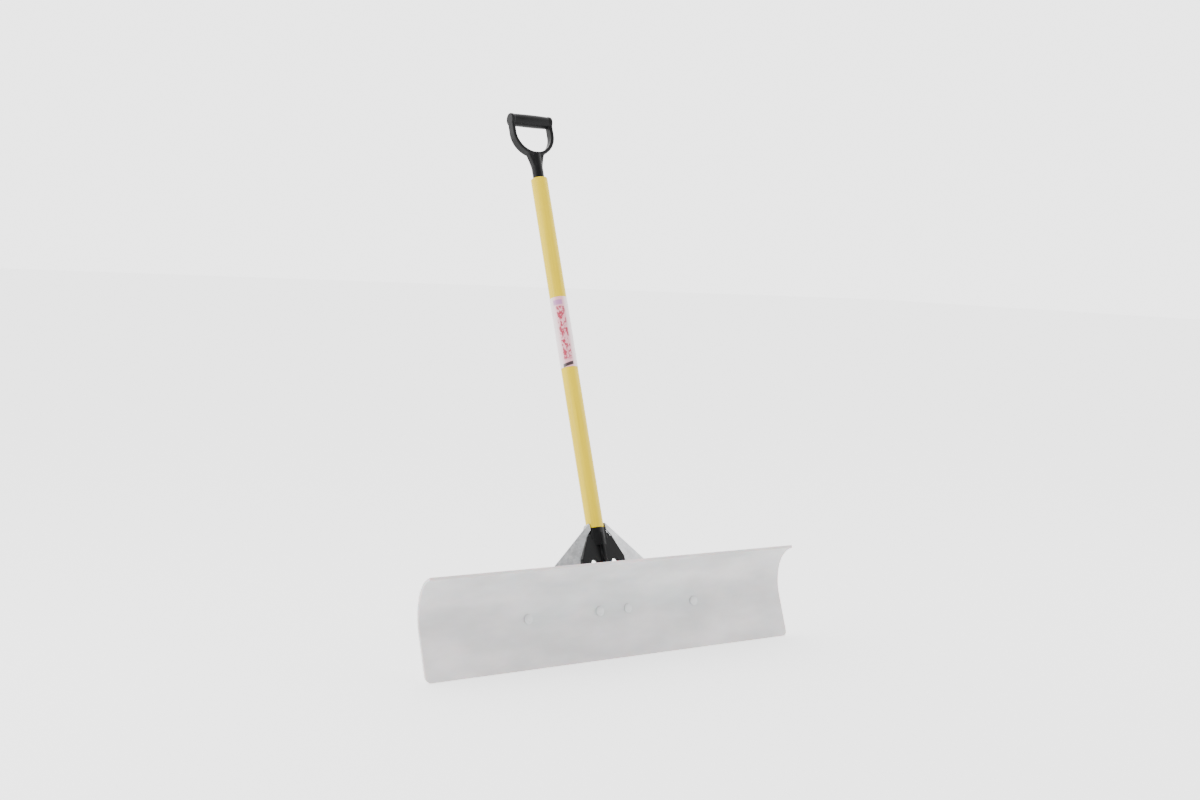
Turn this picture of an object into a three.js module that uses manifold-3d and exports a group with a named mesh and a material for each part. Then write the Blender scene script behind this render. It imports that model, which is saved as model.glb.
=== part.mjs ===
// Snow pusher shovel: a curved plastic sheet blade on a moulded bracket, two folded steel braces,
// a hollow fibreglass pole and a moulded D grip. Millimetres, +Z up, X along the blade, snow side -Y.
// It stands on the blade's lower edge with the pole leaning back, towards +Y.
import * as THREE from 'three';
import { mergeVertices } from 'three/addons/utils/BufferGeometryUtils.js';
import Module from 'manifold-3d';

const wasm = await Module();
wasm.setup();

// ---------------------------------------------------------------- driving dimensions

const CLEARANCE = 0.3;                        // gap between pieces that touch
const LEAN = THREE.MathUtils.degToRad(21.5);  // lean of the pole and of the blade's flat stretch

const BLADE = {
  width: 914.4,
  thickness: 6.4,
  corner: 11,
  // from the lower edge up: a flat stretch, a gentle bend, then the lip rolled towards the snow
  stretches: [
    { length: 96, radius: Infinity },
    { length: 72, radius: 111.6 },
    { length: 60.6, radius: 64.4 },
  ],
};
const BOLT_LINE = 102;                        // bolts, measured up the sheet from its lower edge
const INNER_BOLT_X = 36;
const OUTER_BOLT_X = 211;

const POLE = { start: 55, end: 867, radius: 19, wall: 3.6, behindLip: 103.5 };
const SPIGOT_RADIUS = POLE.radius - POLE.wall - CLEARANCE;
const BRACKET_SPIGOT = 70;
const GRIP_SPIGOT = 62;
const SCREW = { radius: 2.1, length: 12, headRadius: 4.6, headHeight: 2.6, fromEnd: 28 };

const GRIP = {
  barHeight: 1011,
  barRadius: 15,
  halfWidth: 54,
  arm: 8,
  depth: 22,
  bowCentre: 978,
  neckRadius: 13,
  shoulder: 890,
  throatHalfWidth: 23,
  throatDepth: 17,
  throatFlare: 3,
  throatFlareHeight: 16,
  barEdge: 2,
};

const NECK = {
  bottom: 16,
  cheekHalfDepth: 13,
  cheekBottom: 30,
  boltHeight: 42,
  boltBehind: 5.5,
};
// the web's outline is given as distance from the middle and height on its leaning front face
const WEB = {
  thickness: 7,
  lean: THREE.MathUtils.degToRad(27.8),
  y: 81.9,
  z: 195,
  shoulders: [[19, 249], [29.5, 240.5], [39.5, 224.5], [53, 199]],
  arch: [[35, 188], [31, 194.5], [26, 196.5], [21, 194.5], [17.5, 188]],
  foot: 128,
  flangeDepth: 16,
  flangeThickness: 4.5,
};
const FRONT_RIB = { thickness: 5, front: 25, root: 10, top: 50, bottom: -45 };
// the keel joins the neck, the back of the web and the pad; its corners are given as y and height
const KEEL = {
  thickness: 8,
  neckOverlap: 4,
  neckRise: 30,
  heel: [62, 102],
  toe: [[40, 100], [40, 160]],
  webHeight: 215,
};
const PAD = { thickness: 6, halfWidth: 62, top: 156, bottom: 82, corner: 12 };
const BRACE = {
  thickness: 3,
  // the tab's outline as distance behind the pole's axis and distance up the pole
  tab: [[-12, 50], [-10, 65], [8, 63], [14, 57], [15, 50], [15, 38], [11, 32], [-1, 32], [-1, 44]],
  // three points of the wing's plane: outer edge at the tab, outer edge at its foot, inner edge
  plane: [[21, 118, 267], [192, 82, 118], [64, 76, 165]],
  // the wing's outline as distance from the middle and height
  wing: [[21, 267], [192, 118], [85, 118], [64, 165], [55, 198.5], [41, 224], [32, 241], [21, 253]],
  stiffener: { from: [55, 198.5], to: [85, 118], fromWidth: 6, toWidth: 16 },
  edgeFlange: 6,
  // where the wing's bottom is bent in to meet the sheet
  ankle: [83, 40, 102],
  ankleReach: 60,
  // the foot's outline as distance from the middle and height
  foot: [[88, 112], [88, 98], [180, 74], [226, 76], [234, 84], [234, 104], [226, 112]],
};
const LABEL = { start: 416, end: 579, thickness: 0.3, wrap: THREE.MathUtils.degToRad(250) };

const M8 = {
  radius: 4,
  neck: 8,
  head: 10,
  headHeight: 2.2,
  hexHead: 5.3,
  washer: 9,
  neckWasher: 8,
  washerThickness: 1.6,
  nut: 7.5,
};
const NUT = { height: 6.4, collar: 2, collarPart: 0.78 };
const THREAD_END = 3;                         // length of a bolt past its nut
const ROUND = 28;                             // sides of a fine round shape
const COARSE = 20;                            // sides of a small round shape
const HOLE_REACH = 60;                        // longer than any hole is deep
const STRIP_INSET = 0.4;                      // how far a folded strip starts inside its plate

// ---------------------------------------------------------------- materials

function finish(color, roughness, metalness = 0) {
  return new THREE.MeshStandardMaterial({ color, roughness, metalness });
}
const sheetPlastic = finish(0xe4e6e8, 0.45);
const blackNylon = finish(0x151617, 0.5);
const galvanised = finish(0xa9adb0, 0.42, 0.9);
const zincPlate = finish(0xb9bcc0, 0.32, 0.95);
const fibreglass = finish(0xf4c80e, 0.33);
const labelFilm = finish(0xf0dcdf, 0.4);

// ---------------------------------------------------------------- solids

function solid(geometry) {
  const bare = geometry.clone();
  bare.deleteAttribute('normal');
  bare.deleteAttribute('uv');
  const merged = mergeVertices(bare, 1e-4);
  const corners = merged.index.array;
  const kept = [];
  for (let i = 0; i < corners.length; i += 3) {
    const [a, b, c] = [corners[i], corners[i + 1], corners[i + 2]];
    if (a !== b && b !== c && c !== a) {
      kept.push(a, b, c);
    }
  }
  return new wasm.Manifold(new wasm.Mesh({
    numProp: 3,
    vertProperties: new Float32Array(merged.attributes.position.array),
    triVerts: new Uint32Array(kept),
  }));
}

function geometryOf(body) {
  const mesh = body.getMesh();
  const geometry = new THREE.BufferGeometry();
  geometry.setAttribute('position', new THREE.BufferAttribute(mesh.vertProperties, 3));
  geometry.setIndex(new THREE.BufferAttribute(mesh.triVerts, 1));
  geometry.computeVertexNormals();
  return geometry;
}

function extrude(shape, depth, curveSegments = 8) {
  return new THREE.ExtrudeGeometry(shape, { depth, bevelEnabled: false, curveSegments });
}

function outline(points) {
  return new THREE.Shape(points.map(([a, b]) => new THREE.Vector2(a, b)));
}

const ALONG_X = new THREE.Matrix4().makeBasis(
  new THREE.Vector3(0, 1, 0), new THREE.Vector3(0, 0, 1), new THREE.Vector3(1, 0, 0));
const ALONG_Y = new THREE.Matrix4().makeBasis(
  new THREE.Vector3(-1, 0, 0), new THREE.Vector3(0, 0, 1), new THREE.Vector3(0, 1, 0));

// A prism along X of a shape drawn in Y and Z, between x = from and x = to.
function prismX(shape, from, to, segments) {
  const geometry = extrude(shape, to - from, segments).applyMatrix4(ALONG_X);
  return geometry.translate(from, 0, 0);
}

// A prism along Y of a shape drawn in -X and Z, between y = from and y = to.
function prismY(shape, from, to, segments) {
  const geometry = extrude(shape, to - from, segments).applyMatrix4(ALONG_Y);
  return geometry.translate(0, from, 0);
}

// A flat plate on the given corners, thickened towards the given side.
function plate(corners, thickness, side) {
  const across = corners[1].clone().sub(corners[0]).normalize();
  const normal = across.clone().cross(corners[2].clone().sub(corners[0])).normalize();
  if (normal.dot(side) < 0) {
    normal.negate();
  }
  const up = normal.clone().cross(across);
  const flat = corners.map((corner) => {
    const arm = corner.clone().sub(corners[0]);
    return [arm.dot(across), arm.dot(up)];
  });
  const frame = new THREE.Matrix4().makeBasis(across, up, normal).setPosition(corners[0]);
  return extrude(outline(flat), thickness).applyMatrix4(frame);
}

function roundedRectangle(halfWidth, bottom, top, radius) {
  const shape = new THREE.Shape();
  shape.moveTo(-halfWidth + radius, bottom);
  shape.lineTo(halfWidth - radius, bottom);
  shape.absarc(halfWidth - radius, bottom + radius, radius, -Math.PI / 2, 0);
  shape.lineTo(halfWidth, top - radius);
  shape.absarc(halfWidth - radius, top - radius, radius, 0, Math.PI / 2);
  shape.lineTo(-halfWidth + radius, top);
  shape.absarc(-halfWidth + radius, top - radius, radius, Math.PI / 2, Math.PI);
  shape.lineTo(-halfWidth, bottom + radius);
  shape.absarc(-halfWidth + radius, bottom + radius, radius, Math.PI, 1.5 * Math.PI);
  return shape;
}

// ---------------------------------------------------------------- the blade's curve

// Point and slope at a distance up the sheet's snow side, moved back through the sheet.
function bladePoint(along, behind) {
  let angle = LEAN;
  let y = 0;
  let z = 0;
  let left = along;
  for (const { length, radius } of BLADE.stretches) {
    const step = Math.min(left, length);
    if (radius === Infinity) {
      y += step * Math.sin(angle);
      z += step * Math.cos(angle);
    } else {
      const turned = angle - step / radius;
      y += radius * (Math.cos(turned) - Math.cos(angle));
      z += radius * (Math.sin(angle) - Math.sin(turned));
      angle = turned;
    }
    left -= step;
  }
  return { y: y + behind * Math.cos(angle), z: z - behind * Math.sin(angle), angle };
}

const SHEET_LENGTH = BLADE.stretches.reduce((sum, stretch) => sum + stretch.length, 0);
const LIP_HEIGHT = bladePoint(SHEET_LENGTH, 0).z;

// A band that follows the sheet between two distances behind its snow side.
function bladeBand(from, to, near, far, steps) {
  const nearSide = [];
  const farSide = [];
  for (let i = 0; i <= steps; i += 1) {
    const along = from + (to - from) * i / steps;
    const a = bladePoint(along, near);
    const b = bladePoint(along, far);
    nearSide.push([a.y, a.z]);
    farSide.unshift([b.y, b.z]);
  }
  return outline([...nearSide, ...farSide]);
}

// Everything in front of the sheet's back face, to trim what stands on that face.
function inFrontOfBladeBack() {
  const reach = 150;
  const points = [];
  const steps = 36;
  for (let i = 0; i <= steps; i += 1) {
    const point = bladePoint(-10 + (SHEET_LENGTH + 10) * i / steps, BLADE.thickness + CLEARANCE);
    points.push([point.y, point.z]);
  }
  points.push([-reach, points[points.length - 1][1]]);
  points.push([-reach, points[0][1]]);
  return solid(prismX(outline(points), -BLADE.width / 2, BLADE.width / 2));
}

// A pad of even thickness that lies on the sheet's back face, cut to a shape seen from behind.
function padOnBladeBack(thickness, shape) {
  const near = BLADE.thickness + CLEARANCE;
  const band = prismX(bladeBand(40, 200, near, near + thickness, 28), -BLADE.width / 2, BLADE.width / 2);
  return solid(band).intersect(solid(prismY(shape, -20, 150)));
}

// Placement of a blade bolt: its own +Y runs back through the sheet.
function boltPlace(x) {
  const point = bladePoint(BOLT_LINE, 0);
  return new THREE.Matrix4().makeRotationX(-point.angle).setPosition(x, point.y, point.z);
}

// Placement of the pole: its own +Z runs up the pole from the height of the blade's lip.
const polePlace = new THREE.Matrix4()
  .makeRotationX(-LEAN)
  .setPosition(0, POLE.behindLip, LIP_HEIGHT);

function polePoint(x, behind, along) {
  return new THREE.Vector3(x, behind, along).applyMatrix4(polePlace);
}

// ---------------------------------------------------------------- round pieces

function rod(radius, from, to, sides = ROUND) {
  return new THREE.CylinderGeometry(radius, radius, to - from, sides)
    .translate(0, (from + to) / 2, 0);
}

function upright(geometry) {
  return geometry.rotateX(Math.PI / 2);
}

function crosswise(geometry) {
  return geometry.rotateZ(-Math.PI / 2);
}

function blade() {
  const halfWidth = BLADE.width / 2;
  const band = bladeBand(-BLADE.thickness, SHEET_LENGTH, 0, BLADE.thickness, 60);
  const sheet = solid(prismX(band, -halfWidth, halfWidth));
  const shape = roundedRectangle(halfWidth, 0, 2 * LIP_HEIGHT, BLADE.corner);
  let body = sheet.intersect(solid(prismY(shape, -100, 200)));
  for (const x of [-OUTER_BOLT_X, -INNER_BOLT_X, INNER_BOLT_X, OUTER_BOLT_X]) {
    const width = M8.neck + 2 * CLEARANCE;
    const hole = new THREE.BoxGeometry(width, 4 * BLADE.thickness, width).applyMatrix4(boltPlace(x));
    body = body.subtract(solid(hole));
  }
  return geometryOf(body);
}

// ---------------------------------------------------------------- bracket between pole and blade

// A point of the web's front face at a height, and the same point moved back.
function webPoint(x, z, behind = 0) {
  const y = WEB.y + (z - WEB.z) * Math.tan(WEB.lean);
  return new THREE.Vector3(x, y + behind * Math.cos(WEB.lean), z - behind * Math.sin(WEB.lean));
}

// The leaning web: shoulders under the pole, then three legs with an arch between each pair, and a
// flange that runs back from each outer edge.
function bracketWeb() {
  const { shoulders, arch, foot, thickness, flangeDepth, flangeThickness } = WEB;
  const outerX = shoulders[shoulders.length - 1][0];
  const half = [...shoulders, [outerX, foot], [arch[0][0], foot], ...arch,
    [arch[arch.length - 1][0], foot]];
  const mirrored = half.map(([x, z]) => [-x, z]).reverse();
  const corners = [...half, ...mirrored].map(([x, z]) => webPoint(x, z));
  let web = solid(plate(corners, thickness, new THREE.Vector3(0, 1, 0)));
  const edge = [...shoulders.slice(1), [outerX, foot]];
  for (const side of [-1, 1]) {
    for (let i = 1; i < edge.length; i += 1) {
      const strip = [
        webPoint(side * edge[i - 1][0], edge[i - 1][1], thickness / 2),
        webPoint(side * edge[i][0], edge[i][1], thickness / 2),
        webPoint(side * edge[i][0], edge[i][1], flangeDepth),
        webPoint(side * edge[i - 1][0], edge[i - 1][1], flangeDepth),
      ];
      web = web.add(solid(plate(strip, flangeThickness, new THREE.Vector3(-side, 0, 0))));
    }
  }
  return web;
}

// A rib in the middle plane, on the given corners.
function middleRib(corners, thickness) {
  const shape = outline(corners.map((corner) => [corner.y, corner.z]));
  return solid(prismX(shape, -thickness / 2, thickness / 2));
}

function neckBoltHole() {
  return crosswise(rod(M8.radius + CLEARANCE, -HOLE_REACH, HOLE_REACH, COARSE))
    .translate(0, NECK.boltBehind, NECK.boltHeight)
    .applyMatrix4(polePlace);
}

// The hole for a small screw through the pole's back wall, in the pole's own frame.
function screwHole(along) {
  return rod(SCREW.radius + CLEARANCE, 0, HOLE_REACH, COARSE).translate(0, 0, along);
}

// The hole for a blade bolt through whatever lies behind the sheet.
function bladeBoltHole(x) {
  return rod(M8.radius + CLEARANCE, 0, HOLE_REACH, COARSE).applyMatrix4(boltPlace(x));
}

function bracket() {
  const neckTop = POLE.start - CLEARANCE;
  const spigotTop = neckTop + BRACKET_SPIGOT;
  const neck = upright(rod(POLE.radius, NECK.bottom, neckTop)).applyMatrix4(polePlace);
  const spigot = upright(rod(SPIGOT_RADIUS, neckTop - 1, spigotTop)).applyMatrix4(polePlace);
  const cheekHeight = neckTop - NECK.cheekBottom;
  const cheeks = new THREE.BoxGeometry(2 * POLE.radius, 2 * NECK.cheekHalfDepth, cheekHeight)
    .translate(0, 0, NECK.cheekBottom + cheekHeight / 2)
    .applyMatrix4(polePlace);
  const keel = [
    polePoint(0, POLE.radius - KEEL.neckOverlap, NECK.bottom + KEEL.neckRise),
    polePoint(0, POLE.radius - KEEL.neckOverlap, NECK.bottom),
    ...[KEEL.heel, ...KEEL.toe].map(([y, z]) => new THREE.Vector3(0, y, z)),
    webPoint(0, KEEL.webHeight),
  ];
  const { front, root, top, bottom } = FRONT_RIB;
  const frontRib = [
    polePoint(0, -front, top - (front - root) / 2),
    polePoint(0, -root, top),
    polePoint(0, -root, bottom),
    polePoint(0, -front, bottom),
  ];
  const padShape = roundedRectangle(PAD.halfWidth, PAD.bottom, PAD.top, PAD.corner);
  let body = solid(neck)
    .add(solid(spigot))
    .add(solid(cheeks))
    .add(bracketWeb())
    .add(middleRib(keel, KEEL.thickness))
    .add(middleRib(frontRib, FRONT_RIB.thickness))
    .subtract(inFrontOfBladeBack())
    .add(padOnBladeBack(PAD.thickness, padShape));

  const holes = [
    neckBoltHole(),
    screwHole(POLE.start + SCREW.fromEnd).applyMatrix4(polePlace),
    bladeBoltHole(-INNER_BOLT_X),
    bladeBoltHole(INNER_BOLT_X),
  ];
  for (const hole of holes) {
    body = body.subtract(solid(hole));
  }
  return geometryOf(body);
}

// ---------------------------------------------------------------- folded steel braces

// A point of the right wing's plane at a distance from the middle and a height.
function wingPoint(x, z) {
  const [a, b, c] = BRACE.plane.map((point) => new THREE.Vector3(...point));
  const normal = b.clone().sub(a).cross(c.clone().sub(a));
  const y = a.y - (normal.x * (x - a.x) + normal.z * (z - a.z)) / normal.y;
  return new THREE.Vector3(x, y, z);
}

// A strip that stands near the line from one corner to another and reaches away from it. It is a
// little shorter than that line and starts inside the plate it stands on.
function strip(from, to, away, fromWidth, toWidth, thickness, side) {
  const along = to.clone().sub(from).normalize();
  const start = from.clone().addScaledVector(along, STRIP_INSET).addScaledVector(side, STRIP_INSET);
  const end = to.clone().addScaledVector(along, -STRIP_INSET).addScaledVector(side, STRIP_INSET);
  return solid(plate([
    start.clone().addScaledVector(away, thickness / 2),
    end.clone().addScaledVector(away, thickness / 2),
    end.clone().addScaledVector(away, toWidth),
    start.clone().addScaledVector(away, fromWidth),
  ], thickness, side));
}

// The right brace: a tab on the neck's cheek, a leaning wing with a stiffener along its inner edge
// and a narrow flange along its outer edge, an ankle bent in to the sheet, and a foot on the sheet.
function rightBrace() {
  const { thickness, tab, wing, stiffener, edgeFlange, ankle, ankleReach } = BRACE;
  const inside = POLE.radius + CLEARANCE;
  const corners = wing.map(([x, z]) => wingPoint(x, z));
  const [edgeTop, edgeBottom, innerBottom] = corners;
  const backwards = edgeBottom.clone().sub(edgeTop).cross(innerBottom.clone().sub(edgeTop)).normalize();
  if (backwards.y < 0) {
    backwards.negate();
  }
  const outwards = new THREE.Vector3(1, 0, 0);
  const towardsFoot = new THREE.Vector3(...ankle).sub(innerBottom).normalize();
  const tabPlate = prismX(outline(tab), inside, inside + thickness).applyMatrix4(polePlace);
  const footShape = outline(BRACE.foot.map(([x, z]) => [-x, z]));
  const betweenTabs = new THREE.BoxGeometry(2 * inside, 600, 900);

  return solid(plate(corners, thickness, backwards))
    .add(strip(wingPoint(...stiffener.from), wingPoint(...stiffener.to), backwards,
      stiffener.fromWidth, stiffener.toWidth, thickness, outwards))
    .add(strip(edgeTop, edgeBottom, backwards, edgeFlange, edgeFlange, thickness, outwards.clone().negate()))
    .add(strip(
      innerBottom.clone().addScaledVector(towardsFoot, -thickness),
      edgeBottom.clone().addScaledVector(towardsFoot, -thickness),
      towardsFoot, ankleReach, ankleReach, thickness, backwards))
    .subtract(solid(betweenTabs))
    .add(solid(tabPlate))
    .subtract(inFrontOfBladeBack())
    .add(padOnBladeBack(thickness, footShape))
    .subtract(solid(neckBoltHole()))
    .subtract(solid(bladeBoltHole(OUTER_BOLT_X)));
}

// The left brace is the right one mirrored, with its triangles turned to face outwards again.
function leftBrace() {
  const geometry = geometryOf(rightBrace()).scale(-1, 1, 1);
  const corners = geometry.index.array;
  for (let i = 0; i < corners.length; i += 3) {
    [corners[i], corners[i + 1]] = [corners[i + 1], corners[i]];
  }
  geometry.computeVertexNormals();
  return geometry;
}

// ---------------------------------------------------------------- pole and label

// Both are drawn in the pole's own frame, with +Z up the pole.
function pole() {
  const inner = POLE.radius - POLE.wall;
  let tube = solid(upright(rod(POLE.radius, POLE.start, POLE.end)))
    .subtract(solid(upright(rod(inner, POLE.start - 1, POLE.end + 1))));
  for (const along of [POLE.start + SCREW.fromEnd, POLE.end - SCREW.fromEnd]) {
    tube = tube.subtract(solid(screwHole(along)));
  }
  return geometryOf(tube);
}

function label() {
  const inner = POLE.radius + CLEARANCE;
  const outer = inner + LABEL.thickness;
  const from = -Math.PI / 2 - LABEL.wrap / 2;
  const to = -Math.PI / 2 + LABEL.wrap / 2;
  const shape = new THREE.Shape();
  shape.absarc(0, 0, outer, from, to, false);
  shape.absarc(0, 0, inner, to, from, true);
  return extrude(shape, LABEL.end - LABEL.start, ROUND).translate(0, 0, LABEL.start);
}

// ---------------------------------------------------------------- D grip

function grip() {
  const { halfWidth, arm, depth, barHeight, barRadius, bowCentre, neckRadius, shoulder } = GRIP;
  const inner = halfWidth - arm;
  const bow = new THREE.Shape();
  bow.moveTo(-halfWidth, barHeight);
  bow.lineTo(-halfWidth, bowCentre);
  bow.absarc(0, bowCentre, halfWidth, Math.PI, 2 * Math.PI, false);
  bow.lineTo(halfWidth, barHeight);
  bow.lineTo(inner, barHeight);
  bow.lineTo(inner, bowCentre);
  bow.absarc(0, bowCentre, inner, 0, Math.PI, true);
  bow.lineTo(-inner, barHeight);

  // the throat widens from the neck to the bow, and is thinner than the bow
  const { throatHalfWidth, throatDepth, throatFlare, throatFlareHeight } = GRIP;
  const throatTop = bowCentre - Math.sqrt(halfWidth ** 2 - throatHalfWidth ** 2) + arm / 2;
  const throat = outline([
    [-neckRadius, shoulder],
    [neckRadius, shoulder],
    [neckRadius + throatFlare, shoulder + throatFlareHeight],
    [throatHalfWidth, throatTop],
    [0, bowCentre - halfWidth + arm / 2],
    [-throatHalfWidth, throatTop],
    [-neckRadius - throatFlare, shoulder + throatFlareHeight],
  ]);

  const { barEdge } = GRIP;
  const barSide = [
    new THREE.Vector2(0, halfWidth),
    new THREE.Vector2(barRadius - barEdge, halfWidth),
    new THREE.Vector2(barRadius, halfWidth - barEdge),
    new THREE.Vector2(barRadius, barEdge - halfWidth),
    new THREE.Vector2(barRadius - barEdge, -halfWidth),
    new THREE.Vector2(0, -halfWidth),
  ].reverse();
  const bar = crosswise(new THREE.LatheGeometry(barSide, ROUND)).translate(0, 0, barHeight);
  const neck = upright(rod(neckRadius, POLE.end, bowCentre - halfWidth + arm / 2));
  const spigot = upright(rod(SPIGOT_RADIUS, POLE.end - GRIP_SPIGOT, POLE.end + 1.5));
  const body = solid(prismY(bow, -depth / 2, depth / 2, ROUND))
    .add(solid(prismY(throat, -throatDepth / 2, throatDepth / 2)))
    .add(solid(bar))
    .add(solid(neck))
    .add(solid(spigot))
    .subtract(solid(screwHole(POLE.end - SCREW.fromEnd)));
  return geometryOf(body);
}

// ---------------------------------------------------------------- fasteners

// All are drawn along +Y, from the face that they start at.
function carriageBolt(shankEnd) {
  const seat = 3 * CLEARANCE;
  const squareLength = 5;
  const square = new THREE.BoxGeometry(M8.neck, squareLength, M8.neck)
    .translate(0, squareLength / 2 - seat - 0.1, 0);
  const dome = new THREE.LatheGeometry([
    new THREE.Vector2(0, -seat),
    new THREE.Vector2(M8.head, -seat),
    new THREE.Vector2(M8.head * 0.93, -seat - M8.headHeight * 0.6),
    new THREE.Vector2(M8.head * 0.6, -seat - M8.headHeight * 0.92),
    new THREE.Vector2(0, -seat - M8.headHeight),
  ].reverse(), COARSE);
  return geometryOf(solid(rod(M8.radius, 2, shankEnd, COARSE)).add(solid(square)).add(solid(dome)));
}

function washer(outer, inner, thickness) {
  const disc = solid(rod(outer, 0, thickness, COARSE));
  return geometryOf(disc.subtract(solid(rod(inner, -1, thickness + 1, COARSE))));
}

function lockNut(acrossCorners, bore) {
  const hexagon = solid(rod(acrossCorners, 0, NUT.height, 6));
  const collar = solid(rod(acrossCorners * NUT.collarPart, 0, NUT.height + NUT.collar, COARSE));
  const hole = solid(rod(bore, -1, NUT.height + NUT.collar + 1, COARSE));
  return geometryOf(hexagon.add(collar).subtract(hole));
}

function hexBolt(length) {
  const hexagon = solid(rod(M8.nut, -M8.hexHead, 0, 6));
  return geometryOf(hexagon.add(solid(rod(M8.radius, -1, length, COARSE))));
}

function screw() {
  const { radius, length, headRadius, headHeight } = SCREW;
  const head = solid(rod(headRadius, 0, headHeight, COARSE));
  return geometryOf(head.add(solid(rod(radius, -length, 1, COARSE))));
}

// ---------------------------------------------------------------- assembly

const shovel = new THREE.Group();

function part(name, geometry, material, parent = shovel) {
  const mesh = new THREE.Mesh(geometry, material);
  mesh.name = name;
  parent.add(mesh);
  return mesh;
}

function groupAt(matrix, parent = shovel) {
  const group = new THREE.Group();
  matrix.decompose(group.position, group.quaternion, group.scale);
  parent.add(group);
  return group;
}

part('blade', blade(), sheetPlastic);
part('bracket', bracket(), blackNylon);
part('left_brace', leftBrace(), galvanised);
part('right_brace', geometryOf(rightBrace()), galvanised);

const poleGroup = groupAt(polePlace);
part('pole', pole(), fibreglass, poleGroup);
part('label', label(), labelFilm, poleGroup);
part('grip', grip(), blackNylon, poleGroup);
const poleScrews = [
  ['bracket_screw', POLE.start + SCREW.fromEnd],
  ['grip_screw', POLE.end - SCREW.fromEnd],
];
for (const [name, along] of poleScrews) {
  part(name, screw(), zincPlate, poleGroup).position.set(0, POLE.radius + CLEARANCE, along);
}

// the bolt across the neck holds both brace tabs
const neckBolt = new THREE.Group();
neckBolt.rotation.z = -Math.PI / 2;
neckBolt.position.set(0, NECK.boltBehind, NECK.boltHeight);
poleGroup.add(neckBolt);
const tabFace = POLE.radius + 2 * CLEARANCE + BRACE.thickness;
const washerBore = M8.radius + CLEARANCE;
const nutSeat = tabFace + M8.washerThickness + CLEARANCE;
const neckBoltEnd = nutSeat + NUT.height + NUT.collar + THREAD_END;
part('neck_bolt', hexBolt(nutSeat + neckBoltEnd), zincPlate, neckBolt).position.y = -nutSeat;
part('neck_washer_left', washer(M8.neckWasher, washerBore, M8.washerThickness), zincPlate, neckBolt)
  .position.y = -tabFace - M8.washerThickness;
part('neck_washer_right', washer(M8.neckWasher, washerBore, M8.washerThickness), zincPlate, neckBolt)
  .position.y = tabFace;
part('neck_nut', lockNut(M8.nut, washerBore), zincPlate, neckBolt).position.y = nutSeat;

// four bolts through the blade: the inner pair holds the bracket, the outer pair the braces
const bladeBolts = [
  ['outer_left', -OUTER_BOLT_X, BRACE.thickness],
  ['inner_left', -INNER_BOLT_X, PAD.thickness],
  ['inner_right', INNER_BOLT_X, PAD.thickness],
  ['outer_right', OUTER_BOLT_X, BRACE.thickness],
];
for (const [place, x, padThickness] of bladeBolts) {
  const group = groupAt(boltPlace(x));
  const padFace = BLADE.thickness + padThickness + 2 * CLEARANCE;
  const nutFace = padFace + M8.washerThickness + CLEARANCE;
  const end = nutFace + NUT.height + NUT.collar + THREAD_END;
  part(`blade_bolt_${place}`, carriageBolt(end), zincPlate, group);
  part(`blade_washer_${place}`, washer(M8.washer, washerBore, M8.washerThickness), zincPlate, group)
    .position.y = padFace;
  part(`blade_nut_${place}`, lockNut(M8.nut, washerBore), zincPlate, group).position.y = nutFace;
}

// the origin is under the middle of the whole shovel, on the floor
const box = new THREE.Box3().setFromObject(shovel, true);
shovel.position.y = -(box.min.y + box.max.y) / 2;

const model = new THREE.Group();
model.add(shovel);
export default model;
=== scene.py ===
"""Looks of the snow pusher shovel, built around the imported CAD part.

Lengths in the shape code are millimetres in the maker's frame: origin at the middle of the blade's
lower edge, X along the blade, +Y towards the back, Z up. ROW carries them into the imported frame.
"""
import math

import bmesh
import bpy
from mathutils import Matrix, Vector


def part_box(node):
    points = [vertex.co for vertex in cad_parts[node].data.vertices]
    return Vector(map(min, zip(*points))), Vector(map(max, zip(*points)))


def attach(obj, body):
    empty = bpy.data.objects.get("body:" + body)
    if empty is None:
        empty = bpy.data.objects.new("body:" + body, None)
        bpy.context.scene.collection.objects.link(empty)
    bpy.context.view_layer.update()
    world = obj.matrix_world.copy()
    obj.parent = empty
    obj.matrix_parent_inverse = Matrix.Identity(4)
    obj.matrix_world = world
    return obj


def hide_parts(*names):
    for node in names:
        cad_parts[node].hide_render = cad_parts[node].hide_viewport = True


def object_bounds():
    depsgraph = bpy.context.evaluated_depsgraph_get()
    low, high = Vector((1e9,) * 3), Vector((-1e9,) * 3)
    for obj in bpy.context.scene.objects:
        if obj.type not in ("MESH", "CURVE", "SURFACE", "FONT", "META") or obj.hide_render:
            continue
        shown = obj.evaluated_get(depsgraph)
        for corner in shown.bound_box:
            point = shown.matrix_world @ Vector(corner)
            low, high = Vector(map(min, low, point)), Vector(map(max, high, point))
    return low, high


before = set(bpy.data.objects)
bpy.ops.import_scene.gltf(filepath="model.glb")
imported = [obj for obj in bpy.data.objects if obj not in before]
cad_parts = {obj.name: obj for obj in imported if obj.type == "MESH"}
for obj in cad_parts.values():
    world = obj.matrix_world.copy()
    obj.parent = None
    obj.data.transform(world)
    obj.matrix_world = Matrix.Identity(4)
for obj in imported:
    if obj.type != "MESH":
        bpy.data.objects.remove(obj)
CAD_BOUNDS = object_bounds()

MM = 0.001
CLEARANCE = 0.3
LEAN = math.radians(21.5)            # lean of the pole and of the blade's flat stretch

BLADE_HALF_WIDTH = 457.2
SHEET = 6.4                          # thickness of the blade
BLADE_CORNER = 11
STRETCHES = ((96, None), (72, 111.6), (60.6, 64.4))   # length and radius, from the lower edge up
SHEET_LENGTH = sum(length for length, _ in STRETCHES)
BOLT_LINE = 102                      # height of the bolts, measured up the sheet
INNER_BOLT_X = 36
OUTER_BOLT_X = 211

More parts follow.
